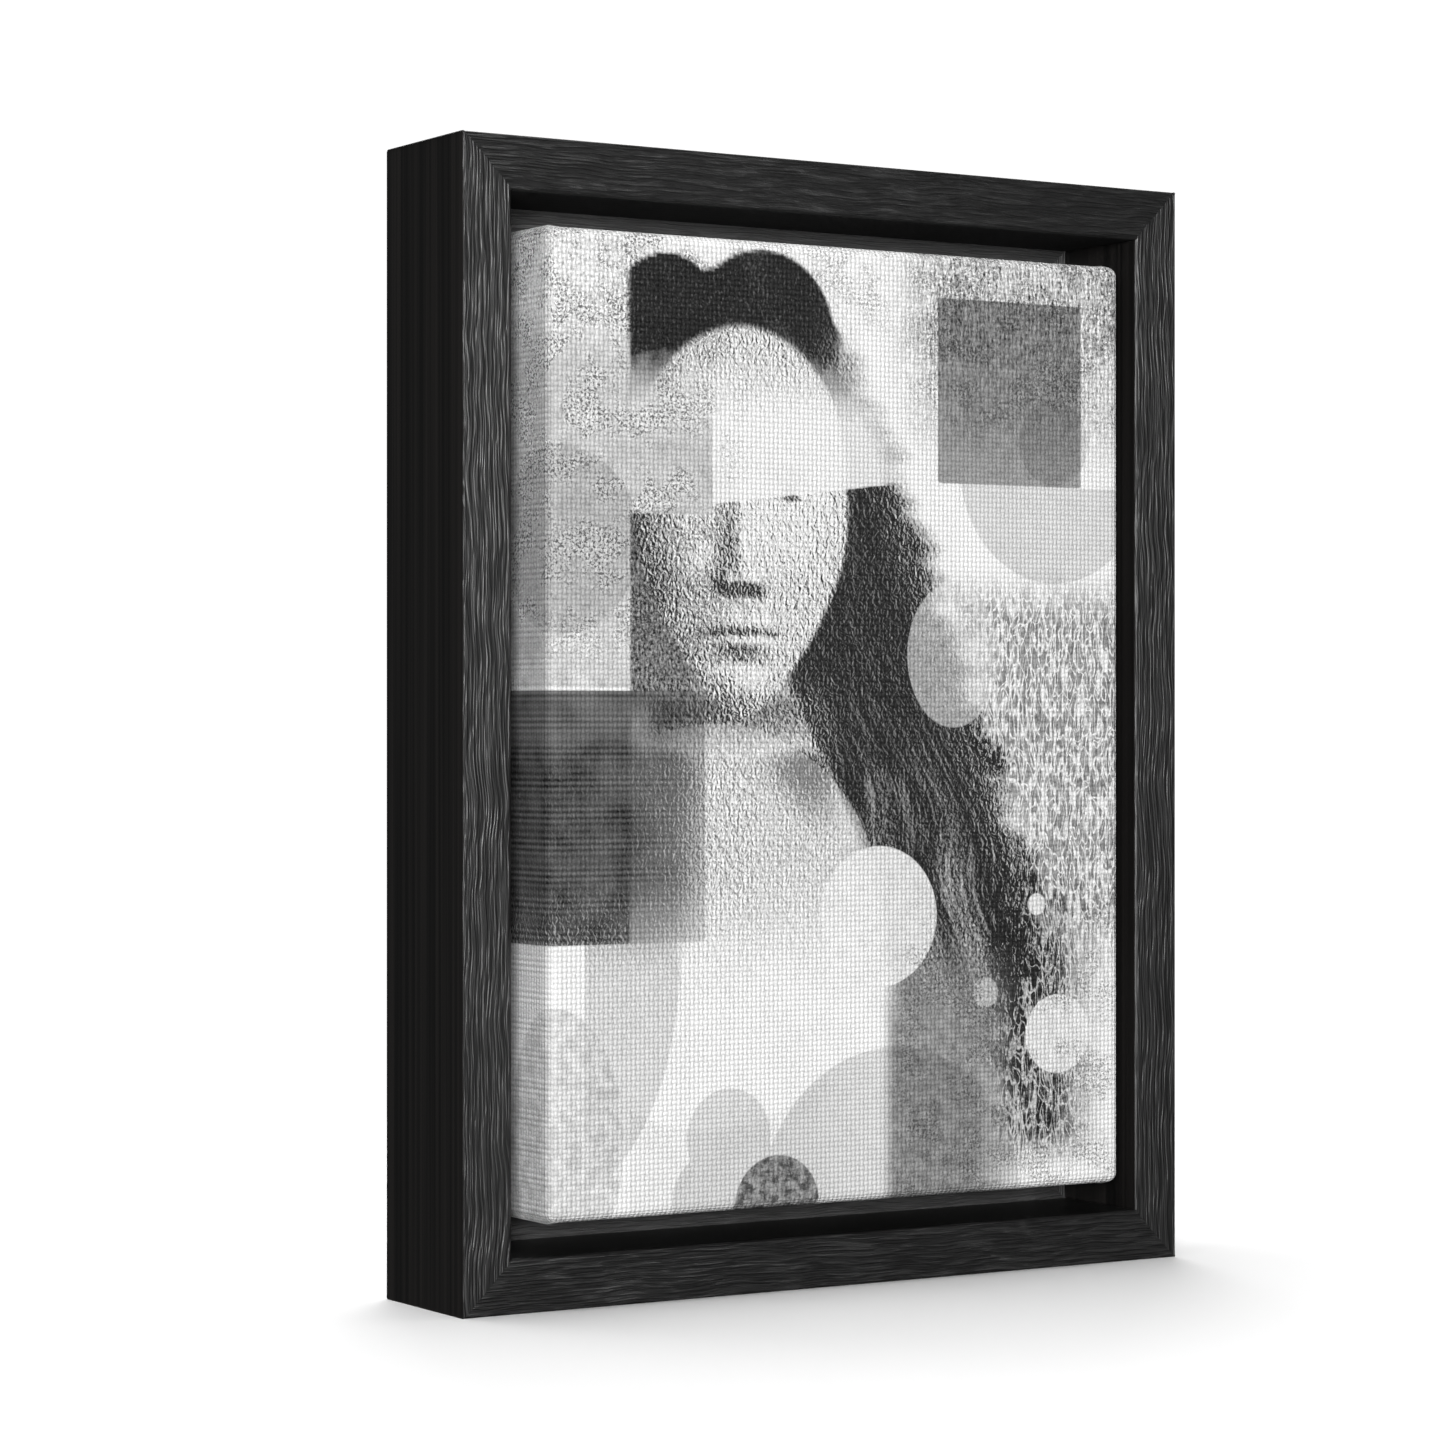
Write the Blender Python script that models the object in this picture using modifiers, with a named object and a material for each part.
"""A small stretched canvas in a black wooden floater frame, 5 x 7 inches of picture.

The frame is four mitred L-section rails held by V-nails. Cotton canvas is stretched round
four wooden bars with bridle-jointed, keyed corners and stapled on the back. Four screws
through the frame's ledge hold the stretcher, so a shadow gap is left all round it. A
sawtooth hanger and two rubber bumpers are on the back.

Metres, +Z up, the picture faces -Y. The origin is the middle of the frame's bottom edge,
at half the frame's depth.
"""

import math
from collections import namedtuple

import bmesh
import bpy
from mathutils import Matrix, Vector

MM = 0.001

# Driving sizes
ART_WIDTH = 127.0 * MM  # the stretched canvas, cloth included
ART_HEIGHT = 177.8 * MM
SHADOW_GAP = 6.0 * MM  # between the canvas and the frame's wall
WALL = 9.9 * MM  # the frame's face, as wide as its wall is thick
FRAME_DEPTH = 29.5 * MM
LEDGE = 6.5 * MM  # thickness of the ledge that the stretcher sits on
LEDGE_COVER = 9.1 * MM  # how far the ledge reaches behind the stretcher's bars
PROUD = 2.8 * MM  # how far the canvas stands out of the frame
CLOTH = 0.6 * MM
FIT = 0.3 * MM  # clearance wherever two pieces meet

BAR_WIDTH = 20.0 * MM
BAR_LIP = 5.0 * MM  # outer strip of a bar that the cloth touches
BAR_STEP = 0.8 * MM  # how far a bar's front drops behind its lip
BAR_FALL = 2.4 * MM  # and how low it is at the bar's inner edge
CLOTH_EDGE_RADIUS = 1.9 * MM
FLAP_SHORT = 3.9 * MM  # bare strip of a bar's back between the cloth's flap and the hollow

FACE_OUTER_ROUND = 0.35 * MM  # radius of the frame's edges, outside and at the gap
FACE_INNER_ROUND = 0.7 * MM

KEY_LENGTH = 18.0 * MM
KEY_THICKNESS = 3.2 * MM
KEY_WIDE = 6.6 * MM
KEY_NARROW = 3.4 * MM
KEY_SEATED = 9.0 * MM  # length of a key inside its slot
KEY_DRIVE = 1.0 * MM  # how much further it can be driven

STAPLE_CROWN = 9.0 * MM
STAPLE_LEG = 6.0 * MM
STAPLE_WIRE = 0.35 * MM  # radius
STAPLES_ON = {"bottom": 3, "top": 3, "left": 4, "right": 4}

SCREW_HEAD = 3.0 * MM  # radius, as is the shank's
SCREW_SHANK = 1.4 * MM
SCREW_LENGTH = 16.0 * MM
SCREW_SINK = 0.3 * MM  # depth of the head below the ledge's back
SCREW_RIM = 0.3 * MM
SCREW_CONE = 1.9 * MM
SCREW_POINT = 3.0 * MM
SCREWED_SIDES = ("left", "right")
SCREW_SPACING = 88.0 * MM  # between the two screws of a long rail
CROSS_LENGTH = 3.2 * MM
CROSS_WIDTH = 0.8 * MM
CROSS_DEPTH = 1.1 * MM

NAIL_SHEET = 0.5 * MM  # V-nails are bent from this sheet steel
NAIL_LEG = 3.6 * MM
NAIL_SPREAD = math.radians(42)  # half the angle of the V
NAIL_SINK = 0.2 * MM
WALL_NAIL_DEPTH = 10.0 * MM
LEDGE_NAIL_COVER = 1.5 * MM  # wood left in front of the V-nail in the ledge

HANGER_LENGTH = 44.0 * MM
HANGER_WIDTH = 7.4 * MM
HANGER_SHEET = 0.8 * MM
HANGER_RISE = 1.4 * MM
HANGER_BRIDGE = 24.0 * MM  # length of the raised part
HANGER_RAMP = 2.0 * MM
HANGER_FROM_TOP = 14.0 * MM
TOOTH_PITCH = 2.0 * MM
TOOTH_DEPTH = 1.5 * MM
TOOTH_TIP = 0.2 * MM  # how far the notches' sides run on below the strip's edge
TOOTH_COUNT = 9
BRAD_HEAD = 1.7 * MM  # radius, as is the shank's
BRAD_HEAD_THICKNESS = 0.6 * MM
BRAD_SHANK = 0.6 * MM
BRAD_LENGTH = 5.0 * MM
BRAD_FROM_END = 4.0 * MM

BUMPER_RADIUS = 4.5 * MM
BUMPER_ROUND = 1.2 * MM
BUMPER_FROM_SIDE = 30.0 * MM
BUMPER_UP = 13.0 * MM

# Worked out from them. "in" is the distance inwards from the frame's outer edge.
CANVAS_IN = WALL + SHADOW_GAP
BAR_IN = CANVAS_IN + CLOTH + FIT
BAR_INNER_IN = BAR_IN + BAR_WIDTH
LEDGE_IN = BAR_IN + LEDGE_COVER
FLAP_IN = BAR_INNER_IN - FLAP_SHORT
STAPLE_IN = (LEDGE_IN + FLAP_IN) / 2
SCREW_IN = (BAR_IN + LEDGE_IN) / 2
FRAME_WIDTH = ART_WIDTH + 2 * CANVAS_IN
FRAME_HEIGHT = ART_HEIGHT + 2 * CANVAS_IN
FRONT = -FRAME_DEPTH / 2
BACK = FRAME_DEPTH / 2
LEDGE_FRONT = BACK - LEDGE
CANVAS_FRONT = FRONT - PROUD
CANVAS_BACK = LEDGE_FRONT - FIT
BAR_FRONT = CANVAS_FRONT + CLOTH + FIT
BAR_BACK = CANVAS_BACK - CLOTH - FIT
LAYER = (BAR_BACK - BAR_FRONT) / 4  # a bar's end is cut in four layers, front to back
HANGER_UP = FRAME_HEIGHT - HANGER_FROM_TOP
BUMPER_THICKNESS = PROUD - FIT  # as far behind the frame as the canvas is in front of it
FAR = 60.0 * MM  # how far a cutter runs past what it cuts
ROUGH = 1.0 * MM  # how much too big a bar is before it is cut to the stretcher's outside

# A side's direction inwards, the middle of its outer edge, its rail's length, and the layer of
# its bar's tongue. The tongues of neighbouring bars lie one behind the other.
Side = namedtuple("Side", "inwards middle length tongue")
HALF_WIDTH, HALF_HEIGHT = FRAME_WIDTH / 2, FRAME_HEIGHT / 2
SIDES = {
    "bottom": Side(Vector((0, 0, 1)), Vector((0, 0, 0)), FRAME_WIDTH, 1),
    "top": Side(Vector((0, 0, -1)), Vector((0, 0, FRAME_HEIGHT)), FRAME_WIDTH, 1),
    "left": Side(Vector((1, 0, 0)), Vector((-HALF_WIDTH, 0, HALF_HEIGHT)), FRAME_HEIGHT, 2),
    "right": Side(Vector((-1, 0, 0)), Vector((HALF_WIDTH, 0, HALF_HEIGHT)), FRAME_HEIGHT, 2),
}
ENDS = {"low": -1, "high": 1}

# A corner's two V-nails: the distance of each from the frame's corner, and its depth.
V_NAILS = {
    "wall": (WALL / 2 * math.sqrt(2), WALL_NAIL_DEPTH),
    "ledge": ((WALL + LEDGE_IN) / 2 * math.sqrt(2), LEDGE - LEDGE_NAIL_COVER),
}


def clear_scene():
    for obj in list(bpy.data.objects):
        bpy.data.objects.remove(obj)


def new_collection(name):
    made = bpy.data.collections.new(name)
    bpy.context.scene.collection.children.link(made)
    return made


def new_material(name, colour, roughness, metallic=0.0):
    made = bpy.data.materials.new(name)
    made.use_nodes = True
    made.diffuse_color = (*colour, 1)
    shader = made.node_tree.nodes["Principled BSDF"]
    shader.inputs["Base Color"].default_value = (*colour, 1)
    shader.inputs["Roughness"].default_value = roughness
    shader.inputs["Metallic"].default_value = metallic
    return made


clear_scene()
PARTS = new_collection("Framed_stretched_canvas")
CUTTERS = new_collection("Cutters")
CUTTERS.hide_render = True

BLACK_WOOD = new_material("black_wood", (0.035, 0.034, 0.035), 0.5)
BARE_PINE = new_material("bare_pine", (0.72, 0.55, 0.36), 0.6)
PRINTED_CANVAS = new_material("printed_canvas", (0.75, 0.75, 0.75), 0.85)
BRIGHT_STEEL = new_material("bright_steel", (0.6, 0.6, 0.62), 0.3, 1.0)
BLACK_RUBBER = new_material("black_rubber", (0.02, 0.02, 0.02), 0.8)


def placed(obj, collection, material=None, parent=None):
    """Moves an object to its collection, gives it its material and hangs it on its parent."""
    for holder in list(obj.users_collection):
        holder.objects.unlink(obj)
    collection.objects.link(obj)
    if material:
        obj.data.materials.clear()
        obj.data.materials.append(material)
    if parent:
        obj.parent = parent
    if collection is CUTTERS:
        obj.hide_render = True
        obj.display_type = "WIRE"
    return obj


def part(obj, material, parent=None):
    return placed(obj, PARTS, material, parent)


def cutter(obj, parent=None):
    return placed(obj, CUTTERS, None, parent)


def cut(obj, *cutters, operation="DIFFERENCE"):
    """Takes each cutter's shape out of the object, or keeps only what lies inside it."""
    for tool in cutters:
        boolean = obj.modifiers.new(tool.name, "BOOLEAN")
        boolean.operation = operation
        boolean.solver = "EXACT"
        boolean.object = tool
    return obj


def block(name, a, b, c):
    """A box from its (low, high) along local X, Y and Z, with its own origin left at (0, 0, 0)."""
    bpy.ops.mesh.primitive_cube_add(size=1)
    obj = bpy.context.active_object
    obj.name = obj.data.name = name
    size = Vector((a[1] - a[0], b[1] - b[0], c[1] - c[0]))
    middle = Vector((sum(a), sum(b), sum(c))) / 2
    obj.data.transform(Matrix.Translation(middle) @ Matrix.Diagonal((*size, 1)))
    return obj


def rod(name, radius, b, a, c, sides=24):
    """A cylinder along local Y, at local (a, c), from its (low, high) along Y."""
    bpy.ops.mesh.primitive_cylinder_add(radius=radius, depth=b[1] - b[0], vertices=sides)
    obj = bpy.context.active_object
    obj.name = obj.data.name = name
    turn = Matrix.Rotation(-math.pi / 2, 4, "X")
    obj.data.transform(Matrix.Translation((a, sum(b) / 2, c)) @ turn)
    return obj


def slab(name, outline, thickness):
    """A flat outline in local XY, made solid along local Z, half its thickness each way."""
    curve = bpy.data.curves.new(name, "CURVE")
    curve.dimensions = "2D"
    curve.fill_mode = "BOTH"
    curve.extrude = thickness / 2
    spline = curve.splines.new("POLY")
    spline.points.add(len(outline) - 1)
    for point, (x, y) in zip(spline.points, outline):
        point.co = (x, y, 0, 1)
    spline.use_cyclic_u = True
    return to_mesh(bpy.data.objects.new(name, curve))


def to_mesh(curve_object):
    """The curve as a closed mesh object of the same name and place."""
    name = curve_object.name
    bpy.context.scene.collection.objects.link(curve_object)
    bpy.context.view_layer.update()
    graph = bpy.context.evaluated_depsgraph_get()
    mesh = bpy.data.meshes.new_from_object(curve_object.evaluated_get(graph))
    matrix = curve_object.matrix_world.copy()
    bpy.data.objects.remove(curve_object)
    shape = bmesh.new()
    shape.from_mesh(mesh)
    bmesh.ops.remove_doubles(shape, verts=shape.verts, dist=0.001 * MM)
    bmesh.ops.recalc_face_normals(shape, faces=shape.faces)
    shape.to_mesh(mesh)
    shape.free()
    obj = bpy.data.objects.new(name, mesh)
    obj.matrix_world = matrix
    bpy.context.scene.collection.objects.link(obj)
    return obj


def turned(name, profile, steps=24):
    """A solid of revolution about local Z from (radius, height) points, top to bottom."""
    mesh = bpy.data.meshes.new(name)
    edges = [(i, i + 1) for i in range(len(profile) - 1)]
    mesh.from_pydata([(r, 0, z) for r, z in profile], edges, [])
    obj = bpy.data.objects.new(name, mesh)
    bpy.context.scene.collection.objects.link(obj)
    screw = obj.modifiers.new("turn", "SCREW")
    screw.steps = screw.render_steps = steps
    screw.use_merge_vertices = True
    screw.merge_threshold = 0.001 * MM
    screw.use_smooth_shade = True
    return obj


def empty(name, matrix):
    made = bpy.data.objects.new(name, None)
    made.empty_display_size = 10 * MM
    PARTS.objects.link(made)
    made.matrix_world = matrix
    return made


def side_matrix(inwards, middle):
    """Local X runs inwards, local Y is the depth, and local Z runs along the side."""
    depth = Vector((0, 1, 0))
    along = inwards.cross(depth)
    turn = Matrix((inwards, depth, along)).transposed().to_4x4()
    return Matrix.Translation(middle) @ turn


def corner_matrix(x_sign, z_sign):
    """Local X runs inwards along the mitre from the frame's outer corner, local Y is the depth."""
    corner = Vector((x_sign * HALF_WIDTH, 0, HALF_HEIGHT + z_sign * HALF_HEIGHT))
    return side_matrix(Vector((-x_sign, 0, -z_sign)).normalized(), corner)


def facing_wall(obj, x, z):
    """Stands a turned piece on the frame's back, its axis pointing to the wall."""
    obj.location = (x, BACK, z)
    obj.rotation_euler = (-math.pi / 2, 0, 0)
    return obj


SIDE_EMPTIES = {
    side: empty(f"{side}_side", side_matrix(shape.inwards, shape.middle))
    for side, shape in SIDES.items()
}


def mitre_cutter(name, side, start, end, depth=(-FAR, FAR)):
    """Everything past the mitre of a piece that lies `start` inwards, less half the joint's gap."""
    tool = block(name, (-FAR, FAR), depth, (-FIT / 2, FAR))
    corner = Matrix.Translation((start, 0, end * (SIDES[side].length / 2 - start)))
    tool.data.transform(corner @ Matrix.Rotation(math.radians(90 - 45 * end), 4, "Y"))
    return cutter(tool, SIDE_EMPTIES[side])


# The floater frame


def frame_rail(side):
    """One L-section rail: the wall, and the ledge that the stretcher sits on."""
    section = [
        (0, FRONT),
        (WALL, FRONT),
        (WALL, LEDGE_FRONT),
        (LEDGE_IN, LEDGE_FRONT),
        (LEDGE_IN, BACK),
        (0, BACK),
    ]
    obj = slab(f"frame_rail_{side}", section, SIDES[side].length)
    round_front_edge(obj, 0, FACE_OUTER_ROUND)
    round_front_edge(obj, WALL, FACE_INNER_ROUND)
    part(obj, BLACK_WOOD, SIDE_EMPTIES[side])
    for which, end in ENDS.items():
        cut(obj, mitre_cutter(f"rail_mitre_{side}_{which}", side, 0, end))
    return obj


def round_front_edge(obj, inwards, radius):
    """Rounds the long edge that is on a rail's front and `inwards` from its outer side."""
    shape = bmesh.new()
    shape.from_mesh(obj.data)
    line = Vector((inwards, FRONT))
    edges = [e for e in shape.edges if all((v.co.xy - line).length < FIT for v in e.verts)]
    bmesh.ops.bevel(shape, geom=edges, offset=radius, segments=3, profile=0.5, affect="EDGES")
    shape.to_mesh(obj.data)
    shape.free()


# The stretcher


def rounded_block(name, x, y, z, radius):
    """A box with every edge but those of its back rounded."""
    obj = block(name, x, y, z)
    shape = bmesh.new()
    shape.from_mesh(obj.data)
    edges = [e for e in shape.edges if any(v.co.y < sum(y) / 2 for v in e.verts)]
    bmesh.ops.bevel(shape, geom=edges, offset=radius, segments=3, profile=0.5, affect="EDGES")
    shape.to_mesh(obj.data)
    shape.free()
    return obj


def frame_inset(inwards, depth):
    """(low, high) along X, Y and Z of a box `inwards` from the frame's outer edge all round."""
    x = (inwards - HALF_WIDTH, HALF_WIDTH - inwards)
    return x, depth, (inwards, FRAME_HEIGHT - inwards)


def layer_front(number):
    """The front of one of the four layers of a bar's end; layer_front(4) is the bar's back."""
    return BAR_FRONT + number * LAYER


def stretcher_bar(side, envelope):
    """One bar. Behind its lip the front slopes away, so that only the lip touches the cloth."""
    section = [
        (BAR_IN - ROUGH, BAR_FRONT - ROUGH),
        (BAR_IN + BAR_LIP, BAR_FRONT - ROUGH),
        (BAR_IN + BAR_LIP, BAR_FRONT + BAR_STEP),
        (BAR_INNER_IN, BAR_FRONT + BAR_FALL),
        (BAR_INNER_IN, BAR_BACK),
        (BAR_IN - ROUGH, BAR_BACK),
    ]
    obj = slab(f"stretcher_bar_{side}", section, SIDES[side].length - 2 * (BAR_IN - ROUGH))
    part(obj, BARE_PINE, SIDE_EMPTIES[side])
    cut_bridle_ends(obj, side)
    return cut(obj, envelope, operation="INTERSECT")


def cut_bridle_ends(obj, side):
    """Leaves mitred cheeks front and back, a tongue, and a slot for the neighbour's tongue."""
    tongue = SIDES[side].tongue
    slot = 3 - tongue
    opening = (layer_front(slot) - FIT / 2, layer_front(slot + 1) + FIT / 2)
    slot_middle = sum(opening) / 2
    front_cheek = (-FAR, layer_front(1) + FIT / 2 if tongue == 1 else slot_middle)
    back_cheek = (layer_front(3) - FIT / 2 if tongue == 2 else slot_middle, FAR)
    shoulder = SIDES[side].length / 2 - BAR_INNER_IN - FIT
    for which, end in ENDS.items():
        label = f"{side}_{which}"
        slot_ends = sorted((end * shoulder, end * (shoulder + FAR)))
        cut(
            obj,
            mitre_cutter(f"front_cheek_{label}", side, BAR_IN, end, front_cheek),
            mitre_cutter(f"back_cheek_{label}", side, BAR_IN, end, back_cheek),
            cutter(block(f"bridle_slot_{label}", (0, FAR), opening, slot_ends), SIDE_EMPTIES[side]),
        )


def key_line(side, end):
    """Depth of a key's middle, and the place along the side of the tongue's edge it bears on."""
    tongue = SIDES[side].tongue
    return layer_front(3 - tongue) + LAYER / 2, end * (SIDES[side].length / 2 - BAR_INNER_IN)


def key_slot(side, which):
    """The slot that a key is driven into, open to the inside of the stretcher."""
    end = ENDS[which]
    depth, edge = key_line(side, end)
    half = KEY_THICKNESS / 2 + FIT
    driven = KEY_SEATED + KEY_DRIVE
    widest = KEY_NARROW + (KEY_WIDE - KEY_NARROW) * driven / KEY_LENGTH
    inwards = (BAR_INNER_IN - driven - FIT, BAR_INNER_IN + FAR)
    along = sorted((edge + end * FIT, edge - end * (widest + 2 * FIT)))
    tool = block(f"key_slot_{side}_{which}", inwards, (depth - half, depth + half), along)
    return cutter(tool, SIDE_EMPTIES[side])


def corner_key(side, which):
    """A hardwood wedge. Its origin is at the mouth of its slot, and it slides along local X."""
    end = ENDS[which]
    depth, edge = key_line(side, end)
    inner_end, outer_end = KEY_LENGTH - KEY_SEATED, -KEY_SEATED
    outline = [
        (outer_end, 0),
        (inner_end, 0),
        (inner_end, -end * KEY_WIDE),
        (outer_end, -end * KEY_NARROW),
    ]
    obj = slab(f"corner_key_{side}_{which}", outline, KEY_THICKNESS)
    obj.data.transform(Matrix.Rotation(math.pi / 2, 4, "X"))
    part(obj, BARE_PINE, SIDE_EMPTIES[side])
    obj.location = (BAR_INNER_IN, depth, edge - end * FIT)
    return obj


# The cloth and its staples


def canvas():
    """The picture, its four wrapped sides, and the flaps turned over onto the back."""
    depth = (CANVAS_FRONT, CANVAS_BACK)
    obj = rounded_block("canvas", *frame_inset(CANVAS_IN, depth), CLOTH_EDGE_RADIUS)
    depth = (CANVAS_FRONT + CLOTH, CANVAS_BACK - CLOTH)
    inside = frame_inset(CANVAS_IN + CLOTH, depth)
    hollow = rounded_block("canvas_hollow", *inside, CLOTH_EDGE_RADIUS - CLOTH)
    opening = block("back_opening", *frame_inset(FLAP_IN, (0, BACK)))
    return cut(part(obj, PRINTED_CANVAS), cutter(hollow), cutter(opening))


def staple_places(side):
    """Places along a side, evenly spaced between the keys."""
    clear = SIDES[side].length - 2 * (BAR_INNER_IN + KEY_WIDE)
    count = STAPLES_ON[side]
    return [(i + 0.5) * clear / count - clear / 2 for i in range(count)]


def staple(side, number, along):
    """A round-wire staple whose crown lies on the flap."""
    crown = CANVAS_BACK + FIT + STAPLE_WIRE
    tip = crown - STAPLE_LEG
    low, high = along - STAPLE_CROWN / 2, along + STAPLE_CROWN / 2
    name = f"staple_{side}_{number}"
    curve = bpy.data.curves.new(name, "CURVE")
    curve.dimensions = "3D"
    curve.bevel_depth = STAPLE_WIRE
    curve.bevel_resolution = 1
    curve.use_fill_caps = True
    spline = curve.splines.new("POLY")
    spline.points.add(3)
    for point, (y, z) in zip(spline.points, [(tip, low), (crown, low), (crown, high), (tip, high)]):
        point.co = (STAPLE_IN, y, z, 1)
    obj = bpy.data.objects.new(name, curve)
    bpy.context.scene.collection.objects.link(obj)
    return part(obj, BRIGHT_STEEL, SIDE_EMPTIES[side])


def staple_hole(name, side, along):
    """The way of one leg, through the flap and into the bar."""
    bottom = CANVAS_BACK + STAPLE_WIRE - STAPLE_LEG
    hole = rod(name, STAPLE_WIRE + FIT, (bottom, BACK), STAPLE_IN, along, sides=8)
    return cutter(hole, SIDE_EMPTIES[side])


# Screws through the ledge


def screw_profile(gap):
    """The side of a countersunk wood screw, top to bottom, grown by a gap for its hole."""
    return [
        (SCREW_HEAD + gap, -SCREW_SINK - SCREW_RIM - gap),
        (SCREW_SHANK + gap, -SCREW_SINK - SCREW_RIM - SCREW_CONE - gap),
        (SCREW_SHANK + gap, -SCREW_LENGTH + SCREW_POINT),
        (0, -SCREW_LENGTH - gap),
    ]


def fixing_screw(side, number, along):
    """A cross-head screw that holds the stretcher to the ledge."""
    profile = [(0, -SCREW_SINK), (SCREW_HEAD, -SCREW_SINK), *screw_profile(0)]
    obj = part(turned(f"fixing_screw_{side}_{number}", profile), BRIGHT_STEEL, SIDE_EMPTIES[side])
    facing_wall(obj, SCREW_IN, along)
    long, wide = CROSS_LENGTH / 2, CROSS_WIDTH / 2
    for which, (a, b) in {"a": (long, wide), "b": (wide, long)}.items():
        name = f"cross_{side}_{number}_{which}"
        cut(obj, cutter(block(name, (-a, a), (-b, b), (-SCREW_SINK - CROSS_DEPTH, 0)), obj))
    return obj


def screw_hole(side, number, along):
    """The countersunk hole through the ledge, the flap and most of the bar."""
    profile = [(0, FAR), (SCREW_HEAD + FIT, FAR), *screw_profile(FIT)]
    hole = cutter(turned(f"screw_hole_{side}_{number}", profile), SIDE_EMPTIES[side])
    return facing_wall(hole, SCREW_IN, along)


# V-nails across the frame's mitres


def v_nail(name, corner, from_corner, depth, gap=0.0):
    """A V of sheet steel standing across a mitre, or with a gap the slot it stands in."""
    leg, sheet = NAIL_LEG + gap, NAIL_SHEET / 2 + gap
    out = Vector((math.cos(NAIL_SPREAD), math.sin(NAIL_SPREAD)))
    across = Vector((-out.y, out.x)) * sheet
    end_outer, end_inner = out * leg + across, out * leg - across
    apex = sheet / math.sin(NAIL_SPREAD)
    upper = [(-apex, 0), tuple(end_outer), tuple(end_inner), (apex, 0)]
    lower = [(x, -y) for x, y in reversed(upper[1:3])]
    back = BACK - NAIL_SINK
    front = back - depth
    low, high = front - gap, BACK + FAR if gap else back
    obj = slab(name, upper + lower, high - low)
    stand = Matrix.Rotation(math.pi / 2, 4, "X")
    obj.data.transform(Matrix.Translation((from_corner, (low + high) / 2, 0)) @ stand)
    obj.parent = corner
    return obj


# The hanger and the bumpers


def sawtooth_hanger():
    """A bent steel strip with teeth along its lower edge, raised in the middle for a nail."""
    low, high = BACK + FIT, BACK + FIT + HANGER_RISE
    foot, ramp = HANGER_LENGTH / 2, HANGER_BRIDGE / 2
    under = [(-foot, low), (-ramp - HANGER_RAMP, low), (-ramp, high)]
    under += [(-x, y) for x, y in reversed(under)]
    over = [(x, y + HANGER_SHEET) for x, y in reversed(under)]
    obj = part(slab("sawtooth_hanger", under + over, HANGER_WIDTH), BRIGHT_STEEL)
    obj.location = (0, 0, HANGER_UP)
    cut(obj, teeth_cutter())
    return obj


def teeth_cutter():
    """A row of notches, open downwards, along the hanger's lower edge."""
    row = TOOTH_COUNT * TOOTH_PITCH / 2
    base = -HANGER_WIDTH / 2
    outline = [(-row, base - HANGER_WIDTH)]
    for i in range(TOOTH_COUNT):
        left = i * TOOTH_PITCH - row
        outline += [(left, base - TOOTH_TIP), (left + TOOTH_PITCH / 2, base + TOOTH_DEPTH)]
    outline += [(row, base - TOOTH_TIP), (row, base - HANGER_WIDTH)]
    tool = slab("hanger_teeth", outline, FAR)
    tool.data.transform(Matrix.Translation((0, BACK, 0)) @ Matrix.Rotation(math.pi / 2, 4, "X"))
    tool.location = (0, 0, HANGER_UP)
    return cutter(tool)


def brad(side, x):
    """A small flat-headed nail that holds one end of the hanger."""
    head = FIT + HANGER_SHEET + FIT
    profile = [
        (0, head + BRAD_HEAD_THICKNESS),
        (BRAD_HEAD, head + BRAD_HEAD_THICKNESS),
        (BRAD_HEAD, head),
        (BRAD_SHANK, head),
        (BRAD_SHANK, head - BRAD_LENGTH),
        (0, head - BRAD_LENGTH - BRAD_SHANK),
    ]
    obj = part(turned(f"hanger_brad_{side}", profile, steps=16), BRIGHT_STEEL)
    return facing_wall(obj, x, HANGER_UP)


def brad_hole(side, x):
    """The way of a brad, through the hanger and into the rail."""
    bottom = BACK + FIT + HANGER_SHEET - BRAD_LENGTH - BRAD_SHANK
    radius = BRAD_SHANK + FIT
    return cutter(rod(f"brad_hole_{side}", radius, (bottom, BACK + FAR), x, HANGER_UP, sides=16))


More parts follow.
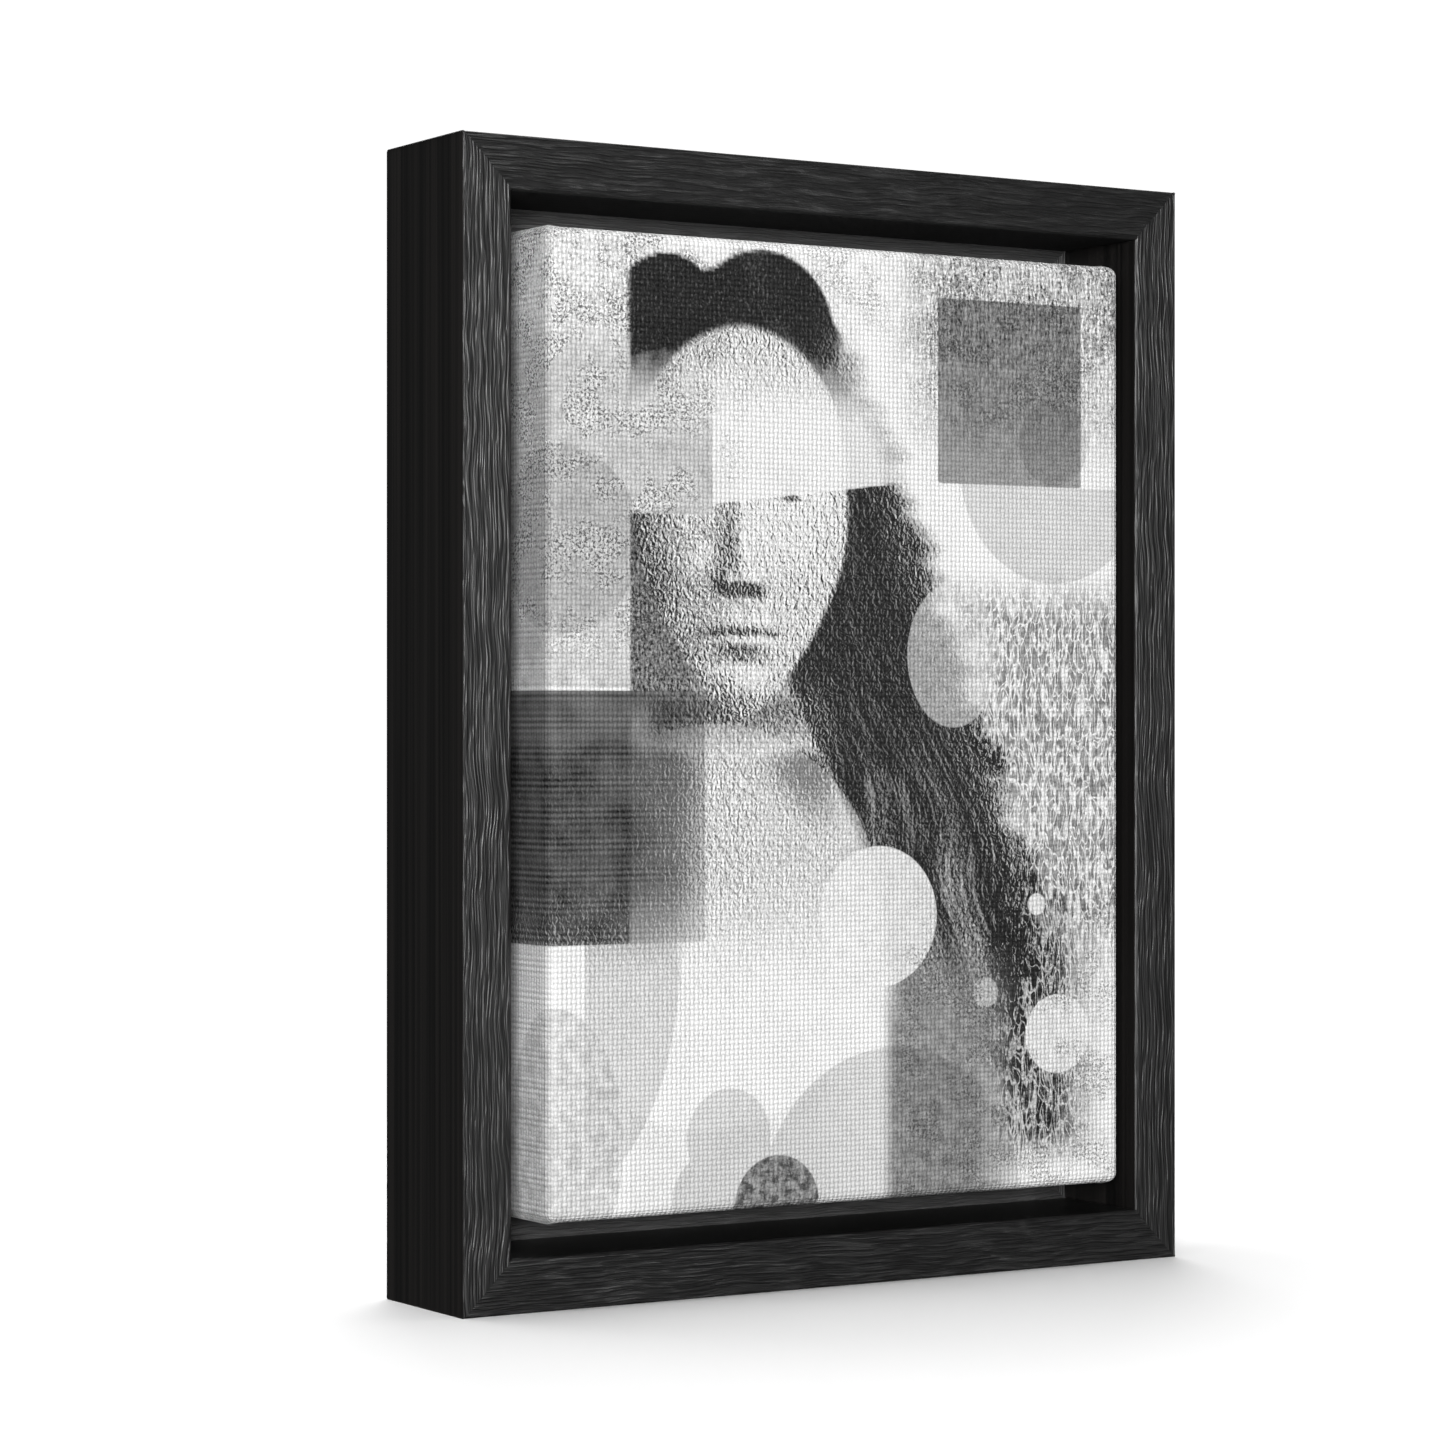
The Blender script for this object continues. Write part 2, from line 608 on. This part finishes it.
def wall_bumper(side, x):
    """A soft domed disc that keeps the frame off the wall."""
    profile = [
        (0, FIT + BUMPER_THICKNESS),
        (BUMPER_RADIUS - BUMPER_ROUND, FIT + BUMPER_THICKNESS),
        (BUMPER_RADIUS - BUMPER_ROUND / 3, FIT + BUMPER_THICKNESS - BUMPER_ROUND / 3),
        (BUMPER_RADIUS, FIT + BUMPER_THICKNESS - BUMPER_ROUND),
        (BUMPER_RADIUS, FIT),
        (0, FIT),
    ]
    obj = part(turned(f"wall_bumper_{side}", profile, steps=32), BLACK_RUBBER)
    return facing_wall(obj, x, BUMPER_UP)


# Assembly

frame_rails = {side: frame_rail(side) for side in SIDES}
stretcher_outside = frame_inset(BAR_IN, (BAR_FRONT, BACK))
corner_radius = CLOTH_EDGE_RADIUS - CLOTH - FIT
stretcher_envelope = cutter(rounded_block("stretcher_envelope", *stretcher_outside, corner_radius))
stretcher_bars = {side: stretcher_bar(side, stretcher_envelope) for side in SIDES}
cloth = canvas()

for side in SIDES:
    for which in ENDS:
        cut(stretcher_bars[side], key_slot(side, which))
        corner_key(side, which)
    for number, along in enumerate(staple_places(side), 1):
        staple(side, number, along)
        for leg in ENDS:
            place = along + ENDS[leg] * STAPLE_CROWN / 2
            hole = staple_hole(f"staple_hole_{side}_{number}_{leg}", side, place)
            cut(stretcher_bars[side], hole)
            cut(cloth, hole)

for side in SCREWED_SIDES:
    for number, along in enumerate((-SCREW_SPACING / 2, SCREW_SPACING / 2), 1):
        fixing_screw(side, number, along)
        hole = screw_hole(side, number, along)
        for pierced in (frame_rails[side], cloth, stretcher_bars[side]):
            cut(pierced, hole)

for x_name, x_sign in (("left", -1), ("right", 1)):
    for z_name, z_sign in (("bottom", -1), ("top", 1)):
        corner = empty(f"{z_name}_{x_name}_corner", corner_matrix(x_sign, z_sign))
        for where, (from_corner, depth) in V_NAILS.items():
            name = f"v_nail_{z_name}_{x_name}_{where}"
            part(v_nail(name, corner, from_corner, depth), BRIGHT_STEEL, corner)
            slot = cutter(v_nail(f"{name}_slot", corner, from_corner, depth, FIT), corner)
            cut(frame_rails[x_name], slot)
            cut(frame_rails[z_name], slot)

hanger = sawtooth_hanger()
for side, sign in (("left", -1), ("right", 1)):
    brad_x = sign * (HANGER_LENGTH / 2 - BRAD_FROM_END)
    hole = brad_hole(side, brad_x)
    brad(side, brad_x)
    cut(hanger, hole)
    cut(frame_rails["top"], hole)
    wall_bumper(side, sign * (HALF_WIDTH - BUMPER_FROM_SIDE))
